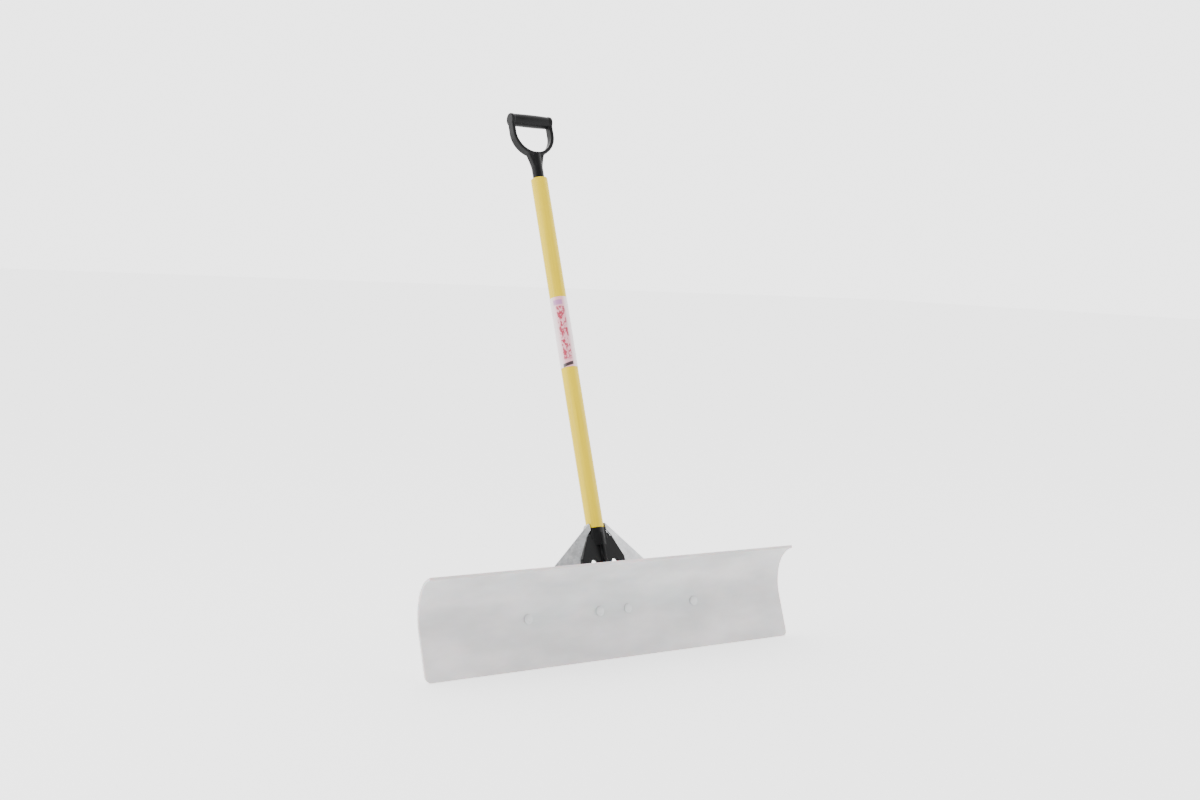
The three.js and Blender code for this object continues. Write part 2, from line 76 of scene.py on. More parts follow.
POLE_START, POLE_END = 55, 867
POLE_RADIUS, POLE_WALL = 19, 3.6
POLE_BEHIND_LIP = 103.5
SCREW_FROM_END = 28
LABEL_START, LABEL_END = 416, 579
LABEL_WRAP = math.radians(250)
LABEL_PRINT_TURN = math.radians(30)  # the print sits to the left of the front

BRACKET_PAD = 6
BRACE_THICKNESS = 3
BRACE_TAB = ((-12, 50), (-10, 65), (8, 63), (14, 57), (15, 50), (15, 38), (11, 32), (-1, 32), (-1, 44))
BRACE_PLANE = ((21, 118, 267), (192, 82, 118), (64, 76, 165))
BRACE_WING = ((21, 267), (192, 118), (85, 118), (64, 165), (55, 198.5), (41, 224), (32, 241), (21, 253))
BRACE_STIFFENER = ((55, 198.5), (85, 118), 6, 16)
BRACE_EDGE = 6
BRACE_ANKLE = (83, 40, 102)
BRACE_FOOT = ((88, 112), (88, 98), (180, 74), (226, 76), (234, 84), (234, 104), (226, 112))

NECK_BOLT_ALONG, NECK_BOLT_BEHIND = 42, 5.5
BOLT_RADIUS = 4
WASHER = 1.6
NUT_CORNERS, NUT_HEIGHT, NUT_COLLAR = 7.5, 6.4, 2
COLLAR_PART = 0.78                   # radius of the nut's collar as a share of its corners
THREAD_END = 3                       # length of a bolt past its nut
HEX_HEAD = 5.3
BLADE_WASHER_RADIUS, NECK_WASHER_RADIUS = 9, 8
DOME_SEAT, DOME_HEIGHT = 0.9, 2.2    # the low head stands off the sheet by its seat
BOLT_SQUARE = 8
SCREW_RADIUS, SCREW_LENGTH = 2.1, 12
SCREW_HEAD_RADIUS, SCREW_HEAD_HEIGHT = 4.6, 2.6

BAR_ALONG, BAR_RADIUS = 1011, 15
GRIP_HALF_WIDTH, GRIP_ARM, GRIP_DEPTH = 54, 8, 22
BOW_CENTRE = 978
NECK_RADIUS, SHOULDER = 13, 890
SPIGOT_RADIUS, GRIP_SPIGOT = POLE_RADIUS - POLE_WALL - CLEARANCE, 62
THROAT_HALF_WIDTH, THROAT_DEPTH = 23, 17
RIBS_PER_RADIAN = 17                 # fine ribs on the outer face of the grip's bow

SURROUND = 3.4                       # brightness of the surroundings
DIM = 0.3                            # share of it that is left in the dimmer area in front
FLOOR_GLOW = 1.25                    # keeps the far floor as bright as the surroundings


# ---------------------------------------------------------------- frames

def sheet_point(along, behind=0.0):
    """(y, z, slope) at a distance up the snow side of the sheet, moved back through the sheet."""
    angle, y, z, left = LEAN, 0.0, 0.0, along
    for length, radius in STRETCHES:
        step = min(left, length)
        if radius is None:
            y += step * math.sin(angle)
            z += step * math.cos(angle)
        elif step > 0:
            turned = angle - step / radius
            y += radius * (math.cos(turned) - math.cos(angle))
            z += radius * (math.sin(angle) - math.sin(turned))
            angle = turned
        left -= step
    return y + behind * math.cos(angle), z - behind * math.sin(angle), angle


LIP_Y, LIP_HEIGHT, _ = sheet_point(SHEET_LENGTH)
SHIFT = LIP_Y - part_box("blade")[0].y / MM
ROW = Matrix.Translation((0, -SHIFT * MM, 0))
POLE = ROW @ Matrix.Translation((0, POLE_BEHIND_LIP * MM, LIP_HEIGHT * MM)) @ Matrix.Rotation(-LEAN, 4, "X")


def bolt_frame(x):
    """Its own Z runs back through the sheet, from the snow side."""
    y, z, angle = sheet_point(BOLT_LINE)
    place = ROW @ Matrix.Translation((x * MM, y * MM, z * MM))
    return place @ Matrix.Rotation(-angle, 4, "X") @ Matrix.Rotation(-math.pi / 2, 4, "X")


NECK_BOLT = (POLE @ Matrix.Translation((0, NECK_BOLT_BEHIND * MM, NECK_BOLT_ALONG * MM))
             @ Matrix.Rotation(math.pi / 2, 4, "Y"))


# ---------------------------------------------------------------- mesh helpers

def make(name, parts, frame_matrix, material, replaced, sharp=40, bevel=None, baked=False):
    """One object from several closed parts, each (vertices in mm, faces). A baked one has its place in
    its vertices instead of its matrix, so that its own box is upright."""
    verts, faces = [], []
    for part_verts, part_faces in parts:
        start = len(verts)
        verts += [Vector(v) * MM for v in part_verts]
        faces += [tuple(i + start for i in face) for face in part_faces]
    mesh = bpy.data.meshes.new(name)
    mesh.from_pydata(verts, [], faces)
    work = bmesh.new()
    work.from_mesh(mesh)
    bmesh.ops.remove_doubles(work, verts=work.verts, dist=1e-7)
    bmesh.ops.recalc_face_normals(work, faces=work.faces)
    work.to_mesh(mesh)
    work.free()
    if baked:
        mesh.transform(frame_matrix)
        frame_matrix = Matrix.Identity(4)
    mesh.shade_smooth()
    mesh.set_sharp_from_angle(angle=math.radians(sharp))
    mesh.materials.append(material)
    piece = bpy.data.objects.new(name, mesh)
    piece.matrix_world = frame_matrix
    bpy.context.scene.collection.objects.link(piece)
    if bevel:
        soften = piece.modifiers.new("soft edges", "BEVEL")
        soften.width = bevel * MM
        soften.segments = 3
        soften.limit_method = "ANGLE"
        soften.angle_limit = math.radians(30)
        soften.harden_normals = False
    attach(piece, "root")
    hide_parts(replaced)
    return piece


def loft(rings, closed=False):
    """A closed body through rings of equally many points; the ends are capped unless it is closed."""
    count = len(rings[0])
    verts = [point for ring in rings for point in ring]
    faces = []
    for r in range(len(rings) if closed else len(rings) - 1):
        a, b = r * count, (r + 1) % len(rings) * count
        for i in range(count):
            j = (i + 1) % count
            faces.append((a + i, a + j, b + j, b + i))
    if not closed:
        faces.append(tuple(range(count))[::-1])
        faces.append(tuple(range((len(rings) - 1) * count, len(rings) * count)))
    return verts, faces


def revolve(profile, sides=64, closed=False):
    """A body of revolution about Z through (radius, height) points; closed makes a ring."""
    rings = []
    for radius, height in profile:
        ring = []
        for i in range(sides):
            turn = 2 * math.pi * i / sides
            ring.append((radius * math.cos(turn), radius * math.sin(turn), height))
        rings.append(ring)
    return loft(rings, closed)


def prism(outline, low, high):
    """A body between two heights over an outline."""
    return loft([[(x, y, height) for x, y in outline] for height in (low, high)])


def slab(corners, offset):
    """A plate on the given corners, thickened by the offset vector."""
    front = [Vector(corner) for corner in corners]
    back = [corner + offset for corner in front]
    return loft([front, back])


def arc(centre, radius, start, end, steps):
    """Points on an arc, angles in degrees."""
    points = []
    for i in range(steps + 1):
        angle = math.radians(start + (end - start) * i / steps)
        points.append((centre[0] + radius * math.cos(angle), centre[1] + radius * math.sin(angle)))
    return points


def rounded(points, radius, steps=5):
    """An outline with its convex and concave corners rounded to about the radius."""
    result = []
    count = len(points)
    for i in range(count):
        here = Vector(points[i])
        before = Vector(points[i - 1]) - here
        after = Vector(points[(i + 1) % count]) - here
        angle = before.angle(after)
        reach = min(radius / math.tan(angle / 2), before.length * 0.45, after.length * 0.45)
        start = here + before.normalized() * reach
        end = here + after.normalized() * reach
        for k in range(steps + 1):
            t = k / steps
            point = start * (1 - t) ** 2 + here * 2 * t * (1 - t) + end * t ** 2
            result.append((point.x, point.y))
    return result


def rounded_box(width, depth, radius, steps=5):
    """Outline of a rectangle with round corners, about the origin."""
    x, y = width / 2 - radius, depth / 2 - radius
    outline = []
    for cx, cy, start in ((x, y, 0), (-x, y, 90), (-x, -y, 180), (x, -y, 270)):
        outline += arc((cx, cy), radius, start, start + 90, steps)
    return outline


# ---------------------------------------------------------------- materials

class Nodes:
    """A short way to write a procedural material."""

    def __init__(self, name, baked_frame=None):
        self.material = bpy.data.materials.new(name)
        self.material.use_nodes = True
        self.tree = self.material.node_tree
        self.shader = self.tree.nodes["Principled BSDF"]
        self.coordinates = self.tree.nodes.new("ShaderNodeTexCoord").outputs["Object"]
        if baked_frame:
            back = baked_frame.inverted()
            undo = self.add("ShaderNodeMapping")
            self.put(self.coordinates, undo.inputs["Vector"])
            undo.inputs["Location"].default_value = back.translation
            undo.inputs["Rotation"].default_value = back.to_euler()
            self.coordinates = undo.outputs["Vector"]

    def add(self, kind, **values):
        node = self.tree.nodes.new(kind)
        for key, value in values.items():
            setattr(node, key, value)
        return node

    def put(self, value, socket):
        if isinstance(value, bpy.types.NodeSocket):
            self.tree.links.new(value, socket)
        else:
            socket.default_value = value

    def stretched(self, scale):
        node = self.add("ShaderNodeMapping")
        self.put(self.coordinates, node.inputs["Vector"])
        node.inputs["Scale"].default_value = scale
        return node.outputs["Vector"]

    def noise(self, scale, detail=4.0, rough=0.55, at=None):
        node = self.add("ShaderNodeTexNoise")
        self.put(at or self.coordinates, node.inputs["Vector"])
        node.inputs["Scale"].default_value = scale
        node.inputs["Detail"].default_value = detail
        node.inputs["Roughness"].default_value = rough
        return node.outputs["Fac"]

    def spread(self, value, low, high, to_low=0.0, to_high=1.0):
        node = self.add("ShaderNodeMapRange")
        node.clamp = True
        self.put(value, node.inputs["Value"])
        for key, number in (("From Min", low), ("From Max", high), ("To Min", to_low), ("To Max", to_high)):
            node.inputs[key].default_value = number
        return node.outputs["Result"]

    def blend(self, factor, first, second):
        node = self.add("ShaderNodeMix", data_type="RGBA")
        self.put(factor, node.inputs[0])
        self.put(first if isinstance(first, bpy.types.NodeSocket) else (*first, 1.0), node.inputs[6])
        self.put(second if isinstance(second, bpy.types.NodeSocket) else (*second, 1.0), node.inputs[7])
        return node.outputs[2]

    def math(self, operation, first, second=0.0):
        node = self.add("ShaderNodeMath", operation=operation)
        self.put(first, node.inputs[0])
        self.put(second, node.inputs[1])
        return node.outputs[0]

    def axis(self, name, at=None):
        node = self.add("ShaderNodeSeparateXYZ")
        self.put(at or self.coordinates, node.inputs[0])
        return node.outputs[name]

    def bump(self, height, strength, distance):
        node = self.add("ShaderNodeBump")
        node.inputs["Strength"].default_value = strength
        node.inputs["Distance"].default_value = distance * MM
        self.put(height, node.inputs["Height"])
        self.put(node.outputs["Normal"], self.shader.inputs["Normal"])

    def surface(self, color, roughness, **values):
        self.put(color, self.shader.inputs["Base Color"])
        self.put(roughness, self.shader.inputs["Roughness"])
        for key, value in values.items():
            self.shader.inputs[key.replace("_", " ")].default_value = value
        return self.material


def sheet_plastic():
    """Milky heavy polyethylene: cloudy, slightly see-through, with long fine scuffs."""
    n = Nodes("sheet_plastic")
    clouds = n.noise(6.5, 3.5, at=n.stretched((1.0, 1.0, 2.6)))
    fine = n.noise(38.0, 5.0)
    scuffs = n.noise(90.0, 3.0, at=n.stretched((0.35, 1.0, 6.0)))
    tone = n.blend(n.spread(clouds, 0.3, 0.7), (0.45, 0.46, 0.465), (0.62, 0.63, 0.632))
    tone = n.blend(n.spread(scuffs, 0.62, 0.8, 0.0, 0.25), tone, (0.72, 0.73, 0.73))
    roughness = n.math("ADD", n.spread(fine, 0.3, 0.7, 0.40, 0.52), n.spread(scuffs, 0.55, 0.8, 0.0, 0.12))
    height = n.math("ADD", n.math("MULTIPLY", clouds, 6.0), n.math("MULTIPLY", scuffs, 0.12))
    n.bump(height, 0.25, 0.5)
    return n.surface(tone, roughness, Subsurface_Weight=0.35, Subsurface_Scale=0.012, IOR=1.5)


def black_nylon(name="black_nylon", bow=None):
    """Moulded black nylon: fine spark-eroded texture, slightly dusty. bow is the height of the centre
    of the grip's bow, whose outer face has fine ribs across it."""
    n = Nodes(name, POLE if bow else None)
    dust = n.noise(24.0, 5.0)
    grain = n.noise(2600.0, 2.0)
    tone = n.blend(n.spread(dust, 0.4, 0.75), (0.0022, 0.0023, 0.0026), (0.0055, 0.0057, 0.0062))
    roughness = n.math("ADD", n.spread(dust, 0.3, 0.7, 0.34, 0.46), n.spread(grain, 0.3, 0.7, 0.0, 0.06))
    height = n.math("ADD", grain, n.math("MULTIPLY", dust, 0.8))
    if bow:
        x = n.axis("X")
        z = n.math("SUBTRACT", n.axis("Z"), bow * MM)
        around = n.math("ARCTAN2", n.math("MULTIPLY", z, -1.0), n.math("ABSOLUTE", x))
        out = n.math("SQRT", n.math("ADD", n.math("MULTIPLY", x, x), n.math("MULTIPLY", z, z)))
        on_face = n.math("MULTIPLY", n.spread(out, 0.0527, 0.0533), n.spread(around, 0.12, 0.2))
        on_face = n.math("MULTIPLY", on_face, n.spread(around, 0.95, 1.0, 1.0, 0.0))
        ribs = n.math("SINE", n.math("MULTIPLY", around, 2 * math.pi * RIBS_PER_RADIAN))
        height = n.math("ADD", height, n.math("MULTIPLY", n.math("MULTIPLY", ribs, on_face), 9.0))
    n.bump(height, 0.35, 0.06)
    return n.surface(tone, roughness, IOR=1.5, Specular_IOR_Level=0.14)


def galvanised_steel():
    """Hot dipped zinc: patchwork of spangle crystals with a slight tone and gloss change each."""
    n = Nodes("galvanised_steel")
    crystals = n.add("ShaderNodeTexVoronoi", feature="F1")
    warped = n.add("ShaderNodeVectorMath", operation="ADD")
    drift = n.add("ShaderNodeTexNoise")
    drift.inputs["Scale"].default_value = 60.0
    n.put(n.coordinates, drift.inputs["Vector"])
    small = n.add("ShaderNodeVectorMath", operation="SCALE")
    small.inputs["Scale"].default_value = 0.004
    n.put(drift.outputs["Color"], small.inputs[0])
    n.put(n.coordinates, warped.inputs[0])
    n.put(small.outputs[0], warped.inputs[1])
    n.put(warped.outputs[0], crystals.inputs["Vector"])
    crystals.inputs["Scale"].default_value = 250.0
    shade = n.axis("X", crystals.outputs["Color"])
    haze = n.noise(34.0, 6.0)
    tone = n.blend(n.spread(shade, 0.0, 1.0), (0.36, 0.365, 0.375), (0.54, 0.545, 0.555))
    tone = n.blend(n.spread(haze, 0.35, 0.8, 0.0, 0.75), tone, (0.29, 0.293, 0.30))
    roughness = n.math("ADD", n.spread(shade, 0.0, 1.0, 0.36, 0.5), n.spread(haze, 0.35, 0.7, 0.0, 0.12))
    height = n.math("ADD", n.math("MULTIPLY", shade, 0.5), haze)
    n.bump(height, 0.3, 0.12)
    return n.surface(tone, roughness, Metallic=0.85)


def zinc_steel():
    """Bright zinc plate on fasteners, a little blue, with fine turning marks."""
    n = Nodes("zinc_steel")
    haze = n.noise(120.0, 4.0)
    marks = n.noise(900.0, 2.0, at=n.stretched((0.3, 0.3, 4.0)))
    tone = n.blend(n.spread(haze, 0.3, 0.7), (0.56, 0.58, 0.61), (0.72, 0.73, 0.74))
    roughness = n.math("ADD", n.spread(haze, 0.3, 0.7, 0.26, 0.38), n.spread(marks, 0.4, 0.7, 0.0, 0.08))
    n.bump(marks, 0.2, 0.04)
    return n.surface(tone, roughness, Metallic=0.95)


def pale_steel():
    """The same plate on the low heads on the snow side, dulled and whitened by the work."""
    n = Nodes("dulled_zinc_steel")
    haze = n.noise(150.0, 4.0)
    tone = n.blend(n.spread(haze, 0.3, 0.7), (0.48, 0.485, 0.49), (0.58, 0.585, 0.59))
    roughness = n.spread(haze, 0.3, 0.7, 0.42, 0.55)
    n.bump(haze, 0.2, 0.05)
    return n.surface(tone, roughness, Metallic=0.15)


def yellow_fibreglass():
    """Pultruded tube: yellow resin over glass fibres that run along it, with a glossy skin."""
    n = Nodes("yellow_fibreglass")
    fibres = n.noise(240.0, 4.0, at=n.stretched((1.0, 1.0, 0.02)))
    patches = n.noise(9.0, 4.0, at=n.stretched((1.0, 1.0, 0.5)))
    tone = n.blend(n.spread(fibres, 0.3, 0.7), (0.56, 0.405, 0.0003), (0.66, 0.485, 0.0006))
    tone = n.blend(n.spread(patches, 0.5, 0.8, 0.0, 0.35), tone, (0.62, 0.44, 0.002))
    roughness = n.math("ADD", n.spread(fibres, 0.3, 0.7, 0.24, 0.34), n.spread(patches, 0.4, 0.7, 0.0, 0.08))
    n.bump(fibres, 0.25, 0.08)
    return n.surface(tone, roughness, IOR=1.5, Specular_IOR_Level=0.18)


def label_film():
    """Printed film with no lettering: pale pink ground, a column of loose red flecks, a violet patch
    near the top and a slanted black bar at the bottom."""
    n = Nodes("label_film")
    up = n.axis("Z")
    around = n.math("ARCTAN2", n.axis("X"), n.math("MULTIPLY", n.axis("Y"), -1.0))
    across = n.math("ADD", around, LABEL_PRINT_TURN)
    grain = n.noise(420.0, 3.0)

    def between(value, low, high, edge):
        rise = n.spread(value, low - edge, low + edge, 0.0, 1.0)
        drop = n.spread(value, high - edge, high + edge, 1.0, 0.0)
        return n.math("MULTIPLY", rise, drop)

    tone = n.blend(n.spread(grain, 0.3, 0.7), (0.66, 0.56, 0.58), (0.72, 0.62, 0.64))
    column = between(across, -0.62, 0.62, 0.25)
    tone = n.blend(n.math("MULTIPLY", column, 0.75), tone, (0.66, 0.26, 0.32))
    flecks = n.spread(n.noise(190.0, 3.0, at=n.stretched((1.0, 1.0, 0.6))), 0.45, 0.53)
    flecks = n.math("MULTIPLY", flecks, between(across, -0.50, 0.50, 0.06))
    flecks = n.math("MULTIPLY", flecks, between(up, 0.434, 0.557, 0.002))
    tone = n.blend(n.math("MULTIPLY", flecks, 0.92), tone, (0.34, 0.008, 0.04))
    violet = n.math("MULTIPLY", between(up, 0.560, 0.572, 0.0012), between(across, -0.75, 0.35, 0.1))
    tone = n.blend(n.math("MULTIPLY", violet, 0.8), tone, (0.34, 0.14, 0.34))
    slant = n.math("SUBTRACT", up, n.math("MULTIPLY", across, 0.004))
    bar = n.math("MULTIPLY", between(slant, 0.4185, 0.4265, 0.0006), between(across, -0.7, 0.55, 0.04))
    tone = n.blend(n.math("MULTIPLY", bar, 0.95), tone, (0.006, 0.006, 0.007))
    roughness = n.spread(grain, 0.3, 0.7, 0.26, 0.36)
    n.bump(grain, 0.12, 0.03)
    return n.surface(tone, roughness, IOR=1.5, Specular_IOR_Level=0.4)


SHEET_PLASTIC = sheet_plastic()
BLACK_NYLON = black_nylon()
GRIP_NYLON = black_nylon("black_nylon_grip", BOW_CENTRE)
GALVANISED = galvanised_steel()
ZINC = zinc_steel()
PALE_ZINC = pale_steel()
FIBREGLASS = yellow_fibreglass()
LABEL_FILM = label_film()


# ---------------------------------------------------------------- blade

def build_blade():
    """The bent sheet, with rounded lower corners and softened cut edges."""
    columns = [math.cos(math.radians(a)) for a in range(0, 91, 10)]
    inner = BLADE_HALF_WIDTH - BLADE_CORNER
    xs = [inner + BLADE_CORNER * (1 - c) for c in columns]
    side = [(x, BLADE_CORNER - math.sqrt(max(0.0, BLADE_CORNER ** 2 - (x - inner) ** 2))) for x in xs]
    middle = [(inner * k / 24, 0.0) for k in range(-24, 25)]
    spots = [(-x, z) for x, z in side[:0:-1]] + middle + side[1:]
    steps = 96
    rings = []
    for x, low in spots:
        ring = []
        first = low / math.cos(LEAN)
        for i in range(steps + 1):
            y, z, _ = sheet_point(first + (SHEET_LENGTH - first) * i / steps)
            ring.append((x, y, z))
        first = (low + SHEET * math.sin(LEAN)) / math.cos(LEAN)
        for i in range(steps, -1, -1):
            y, z, _ = sheet_point(first + (SHEET_LENGTH - first) * i / steps, SHEET)
            ring.append((x, y, z))
        rings.append(ring)
    blade = make("blade_sheet", [loft(rings)], ROW, SHEET_PLASTIC, "blade", bevel=0.9)
    return blade


# ---------------------------------------------------------------- braces

def wing_point(x, z):
    """A point of the right wing's plane."""
    a, b, c = (Vector(point) for point in BRACE_PLANE)
    normal = (b - a).cross(c - a)
    return Vector((x, a.y - (normal.x * (x - a.x) + normal.z * (z - a.z)) / normal.y, z))


def wing_normal():
    """The unit vector out of the back of the right wing."""
    a, b, c = (Vector(point) for point in BRACE_PLANE)
    normal = (b - a).cross(c - a).normalized()
    return normal if normal.y > 0 else -normal


def strip(start, end, away, start_width, end_width, thickness):
    """A flange along a line, reaching away from it."""
    return slab([start, end, end + away * end_width, start + away * start_width], thickness)


def sheet_pad(outline, thickness, steps=10):
    """A thin plate that lies on the back of the sheet, over an outline in x and z."""
    near = SHEET + CLEARANCE

    def place(x, z, behind):
        along = z / math.cos(LEAN) + behind * math.tan(LEAN)
        for _ in range(4):
            _, reached, angle = sheet_point(along, behind)
            along += (z - reached) / max(0.5, math.cos(angle))
        y, _, _ = sheet_point(along, behind)
        return x, y, z

    front = [place(x, z, near) for x, z in outline]
    back = [place(x, z, near + thickness) for x, z in outline]
    return loft([front, back])


def build_brace(side):
    """A folded steel brace; the left one is the right one mirrored."""
    half = BRACE_THICKNESS / 2
    normal = wing_normal()
    inside = POLE_RADIUS + CLEARANCE
    to_maker = Matrix.Translation((0, POLE_BEHIND_LIP, LIP_HEIGHT)) @ Matrix.Rotation(-LEAN, 4, "X")
    tab = rounded(BRACE_TAB, 3)
    faces = (inside, inside + BRACE_THICKNESS)
    parts = [loft([[to_maker @ Vector((x, v, t)) for v, t in tab] for x in faces])]

    corners = [wing_point(x, z) for x, z in BRACE_WING]
    edge_top, edge_bottom, inner_bottom = corners[:3]
    parts.append(slab(corners, normal * BRACE_THICKNESS))
    (x0, z0), (x1, z1), wide0, wide1 = BRACE_STIFFENER
    outwards = Vector((1, 0, 0))
    middle = normal * half
    parts.append(strip(wing_point(x0, z0) + middle, wing_point(x1, z1) + middle, normal,
                       wide0 - half, wide1 - half, outwards * BRACE_THICKNESS))
    parts.append(strip(edge_top + middle, edge_bottom + middle, normal,
                       BRACE_EDGE - half, BRACE_EDGE - half, -outwards * BRACE_THICKNESS))

    to_foot = (Vector(BRACE_ANKLE) - inner_bottom).normalized()
    ends = []
    for corner in (inner_bottom, edge_bottom):
        reach = 0.0
        while reach < 60:
            point = corner + to_foot * reach
            y, _, _ = sheet_point(max(0.0, point.z / math.cos(LEAN)))
            if point.y < y + SHEET + CLEARANCE + BRACE_THICKNESS * 0.6:
                break
            reach += 0.25
        ends.append(corner + to_foot * reach)
    starts = [corner - to_foot * BRACE_THICKNESS for corner in (edge_bottom, inner_bottom)]
    parts.append(slab([*ends, *starts], normal * BRACE_THICKNESS))
    parts.append(sheet_pad(rounded(BRACE_FOOT, 6), BRACE_THICKNESS))

    brace = []
    for verts, faces in parts:
        brace.append(([(side * v[0], v[1], v[2]) for v in verts], faces))
    name = "right" if side > 0 else "left"
    return make(f"{name}_brace_steel", brace, ROW, GALVANISED, f"{name}_brace",
                bevel=0.6)


# ---------------------------------------------------------------- pole and label

def build_pole():
    """A thick tube with softened ends."""
    inner, soft = POLE_RADIUS - POLE_WALL, 0.6
    profile = [(inner, POLE_START + soft), (inner + soft, POLE_START), (POLE_RADIUS - soft, POLE_START),
               (POLE_RADIUS, POLE_START + soft), (POLE_RADIUS, POLE_END - soft),
               (POLE_RADIUS - soft, POLE_END), (inner + soft, POLE_END), (inner, POLE_END - soft)]
    tube = revolve(profile, 128, closed=True)
    return make("pole_tube", [tube], POLE, FIBREGLASS, "pole")


def build_label():
    """A film wrapped round the front of the pole, with round corners."""
    inner, thickness, corner, steps = POLE_RADIUS + CLEARANCE, 0.25, 6, 72
    half = LABEL_WRAP * inner / 2
    middle = (LABEL_START + LABEL_END) / 2
    flat = rounded([(-half, LABEL_START), (half, LABEL_START), (half, LABEL_END), (-half, LABEL_END)], corner)
    even = {-half + 2 * half * k / steps for k in range(steps + 1)}
    columns = sorted({round(x, 4) for x, _ in flat} | even)
    rings = []
    for x in columns:
        over = max(0.0, abs(x) - (half - corner))
        drop = corner - math.sqrt(max(0.0, corner ** 2 - over ** 2))
        low, high = LABEL_START + drop, LABEL_END - drop
        turn = -math.pi / 2 + x / inner
        outer = inner + thickness
        ring = []
        for radius, height in ((inner, low), (outer, low), (outer, high), (inner, high)):
            ring.append((radius * math.cos(turn), radius * math.sin(turn), height))
        rings.append(ring)
    return make("label_film_piece", [loft(rings)], POLE, LABEL_FILM, "label")


# ---------------------------------------------------------------- moulded black pieces

def melt(piece, voxel, passes):
    """Joins a piece's overlapping parts into one skin with soft corners and fillets."""
    remesh = piece.modifiers.new("one skin", "REMESH")
    remesh.mode = "VOXEL"
    remesh.voxel_size = voxel * MM
    remesh.use_smooth_shade = True
    smooth = piece.modifiers.new("soft corners", "SMOOTH")
    smooth.factor = 0.5
    smooth.iterations = passes


def build_grip():
    """The D grip: round bar, bow of even width, thinner throat, neck, and spigot inside the pole."""
    section = rounded_box(GRIP_ARM, GRIP_DEPTH, 2.6)
    mid = GRIP_HALF_WIDTH - GRIP_ARM / 2
    path = [((-mid, BAR_ALONG), 0.0), ((-mid, (BAR_ALONG + BOW_CENTRE) / 2), 0.0)]
    steps = 48
    for i in range(steps + 1):
        angle = math.pi + math.pi * i / steps
        path.append(((mid * math.cos(angle), BOW_CENTRE + mid * math.sin(angle)), angle - math.pi))
    path += [((mid, (BAR_ALONG + BOW_CENTRE) / 2), math.pi), ((mid, BAR_ALONG), math.pi)]
    rings = []
    for (x, along), angle in path:
        ring = []
        for across, depth in section:
            ring.append((x + across * math.cos(angle), depth, along + across * math.sin(angle)))
        rings.append(ring)
    bow = loft(rings)

    hw, soft = GRIP_HALF_WIDTH, 2.0
    swell = []
    for k in range(25):
        t = -1 + 2 * k / 24
        swell.append((BAR_RADIUS - 0.9 * t * t, t * (hw - GRIP_ARM)))
    left_end = [(BAR_RADIUS - soft, -hw), (BAR_RADIUS - soft * 0.3, -hw + soft * 0.3),
                (BAR_RADIUS, -hw + soft), (BAR_RADIUS, -hw + GRIP_ARM - 0.4)]
    right_end = [(radius, -height) for radius, height in reversed(left_end)]
    profile = left_end + swell + right_end
    verts, faces = revolve(profile, 72)
    bar = [(h, v, BAR_ALONG + u) for u, v, h in verts], faces

    throat_top = BOW_CENTRE - math.sqrt(hw ** 2 - THROAT_HALF_WIDTH ** 2) + GRIP_ARM / 2
    sections = []
    for k in range(13):
        rise = k / 12
        half_width = NECK_RADIUS - 2 + (THROAT_HALF_WIDTH - NECK_RADIUS + 2) * rise ** 1.4
        height = SHOULDER + (throat_top - SHOULDER) * rise
        section = rounded_box(2 * half_width, THROAT_DEPTH, 3.5)
        sections.append([(x, depth, height) for x, depth in section])
    throat = loft(sections)

    top = BOW_CENTRE - hw + GRIP_ARM / 2
    neck = revolve([(NECK_RADIUS - 0.6, POLE_END + CLEARANCE), (NECK_RADIUS, POLE_END + 1.2),
                    (NECK_RADIUS, top)], 64)
    foot = POLE_END - GRIP_SPIGOT
    spigot = revolve([(SPIGOT_RADIUS - 1, foot), (SPIGOT_RADIUS, foot + 2),
                      (SPIGOT_RADIUS, POLE_END + 1.5)], 64)
    grip = make("grip_moulding", [bow, bar, throat, neck, spigot], POLE, GRIP_NYLON, "grip",
                baked=True)
    melt(grip, 0.6, 9)
    return grip


def build_bracket():
    """The bracket keeps its CAD mesh; its corners are softened as a moulding's are."""
    cad = bpy.data.objects["bracket"]
    cad.data.materials.clear()
    cad.data.materials.append(BLACK_NYLON)
    melt(cad, 0.65, 7)
    return cad


# ---------------------------------------------------------------- fasteners

def threads(radius, start, end, pitch=1.25, depth=0.55, sides=36):
    """A threaded rod with a real helix."""
    steps = max(8, int((end - start) / pitch * 6))
    rings = []
    for r in range(steps + 1):
        height = start + (end - start) * r / steps
        ring = []
        for i in range(sides):
            phase = (height / pitch + i / sides) % 1.0
            fade = min(1.0, (end - height) / 0.9, (height - start) / 0.5)
            point = 0.45 * max(0.0, 1 - (end - height) / 0.7)
            cut = depth * (1 - abs(2 * phase - 1)) * max(0.0, fade) + point
            turn = 2 * math.pi * i / sides
            ring.append(((radius - cut) * math.cos(turn), (radius - cut) * math.sin(turn), height))
        rings.append(ring)
    return loft(rings)


def hexagon(corner_radius, low, high, chamfer=0.7, sides=72):
    """A hexagonal head or nut whose corners are turned down at its ends."""
    flat = corner_radius * math.cos(math.pi / 6)
    levels = []
    count = 6
    for k in range(count + 1):
        t = k / count
        levels.append((low + chamfer * t, flat * 0.985 + (corner_radius - flat) * t))
    for k in range(count, -1, -1):
        t = k / count
        levels.append((high - chamfer * t, flat * 0.985 + (corner_radius - flat) * t))
    rings = []
    for height, limit in levels:
        ring = []
        for i in range(sides):
            turn = 2 * math.pi * i / sides
            off = (turn + math.pi / 6) % (math.pi / 3) - math.pi / 6
            radius = min(limit, flat / math.cos(off))
            ring.append((radius * math.cos(turn), radius * math.sin(turn), height))
        rings.append(ring)
    return loft(rings)


